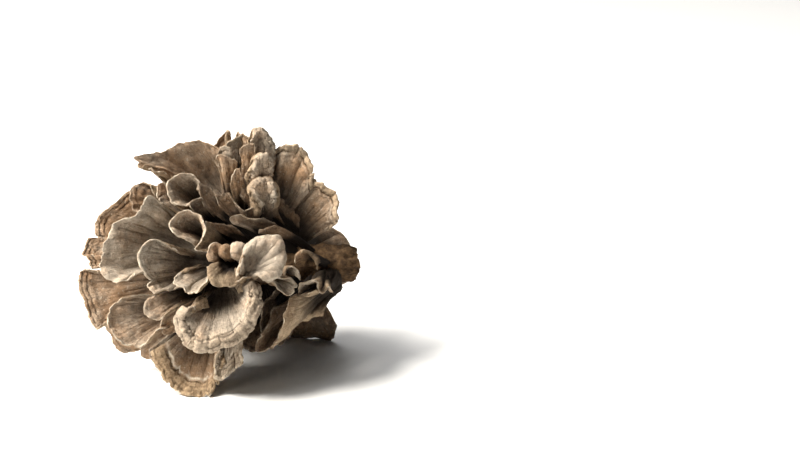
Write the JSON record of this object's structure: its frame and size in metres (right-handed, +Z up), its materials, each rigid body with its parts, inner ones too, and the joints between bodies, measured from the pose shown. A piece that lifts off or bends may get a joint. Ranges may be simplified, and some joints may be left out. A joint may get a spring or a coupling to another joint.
{
  "type": "maitake mushroom",
  "caption": "Dried maitake mushroom lying on its side: a knobbly stump that branches into an open rosette of thin, ruffled, fan-shaped caps.",
  "frame": {"origin": "on the surface the mushroom lies on, under the middle of its bounding box", "axes": "+Z up, +X from the rosette towards the stump, -Y towards the open face of the rosette"},
  "size_m": [0.1169, 0.0884, 0.1014],
  "materials": {
    "dried_flesh": "dry, matt and fibrous; grey-brown caps with paler rims"
  },
  "bodies": {
    "root": {"maitake": "dried_flesh"}
  },
  "joints": []
}
